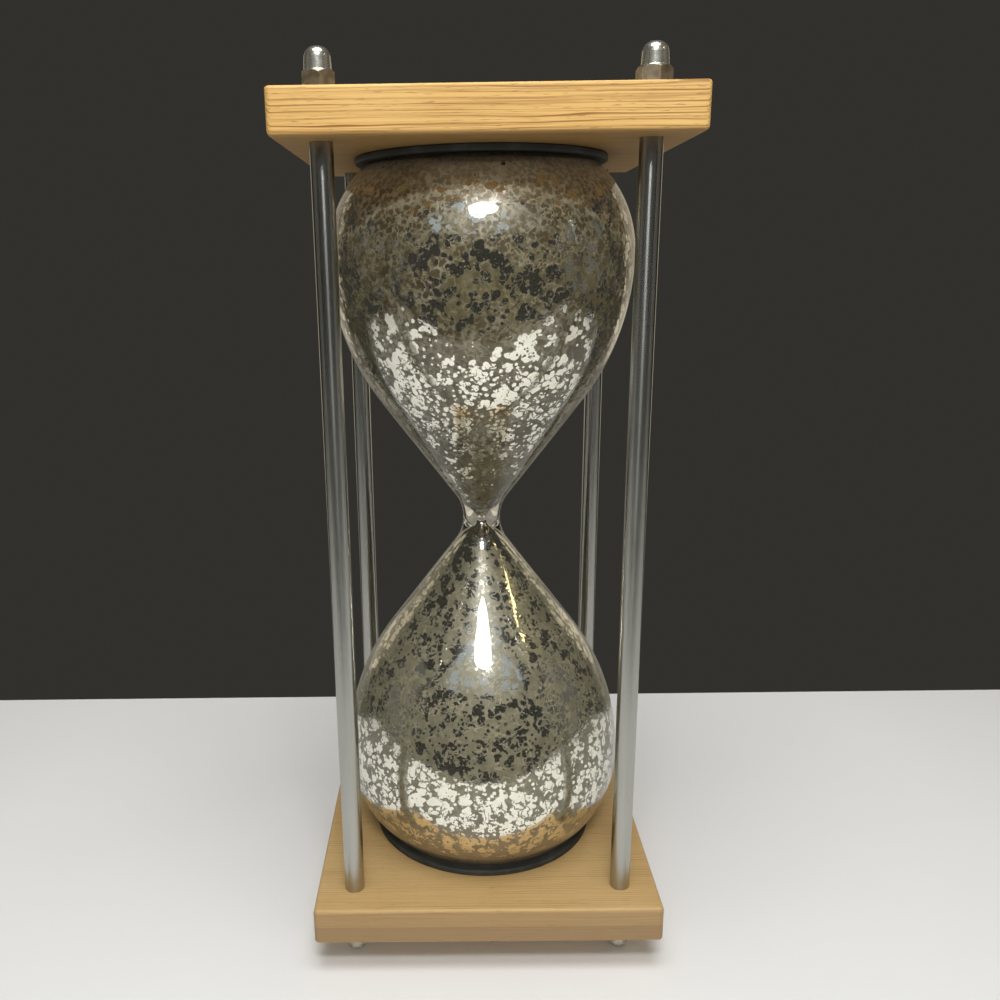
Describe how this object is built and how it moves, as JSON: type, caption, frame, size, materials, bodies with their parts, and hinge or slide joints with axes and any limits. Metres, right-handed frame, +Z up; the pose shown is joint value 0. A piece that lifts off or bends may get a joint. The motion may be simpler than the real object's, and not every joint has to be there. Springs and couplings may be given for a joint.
{
  "type": "hourglass",
  "caption": "Free-standing hourglass: a silvered two-bulb glass vessel held between square oak plates by steel posts and cap nuts.",
  "frame": {"origin": "on the ground under the centre of the frame, where the four cap-nut feet stand", "axes": "+Z up along the axis of the glass, -Y towards the front, +X to the right"},
  "size_m": [0.14, 0.14, 0.3448],
  "materials": {
    "oak": "clear satin oak, straight grain",
    "post_steel": "polished steel tube",
    "rod_steel": "plain threaded steel",
    "nut_chrome": "polished nickel plate",
    "gasket_rubber": "matt black rubber",
    "silvered_glass": "clear glass, silvered in flakes on the inside",
    "sand": "fine pale sand"
  },
  "bodies": {
    "root": {"top_plate": "oak", "bottom_plate": "oak", "front_left_post": "post_steel", "front_right_post": "post_steel", "rear_left_post": "post_steel", "rear_right_post": "post_steel", "front_left_tie_rod": "rod_steel", "front_right_tie_rod": "rod_steel", "rear_left_tie_rod": "rod_steel", "rear_right_tie_rod": "rod_steel", "front_left_top_nut": "nut_chrome", "front_left_bottom_nut": "nut_chrome", "front_right_top_nut": "nut_chrome", "front_right_bottom_nut": "nut_chrome", "rear_left_top_nut": "nut_chrome", "rear_left_bottom_nut": "nut_chrome", "rear_right_top_nut": "nut_chrome", "rear_right_bottom_nut": "nut_chrome", "upper_gasket": "gasket_rubber", "lower_gasket": "gasket_rubber", "glass_vessel": "silvered_glass", "sand": "sand"}
  },
  "joints": []
}
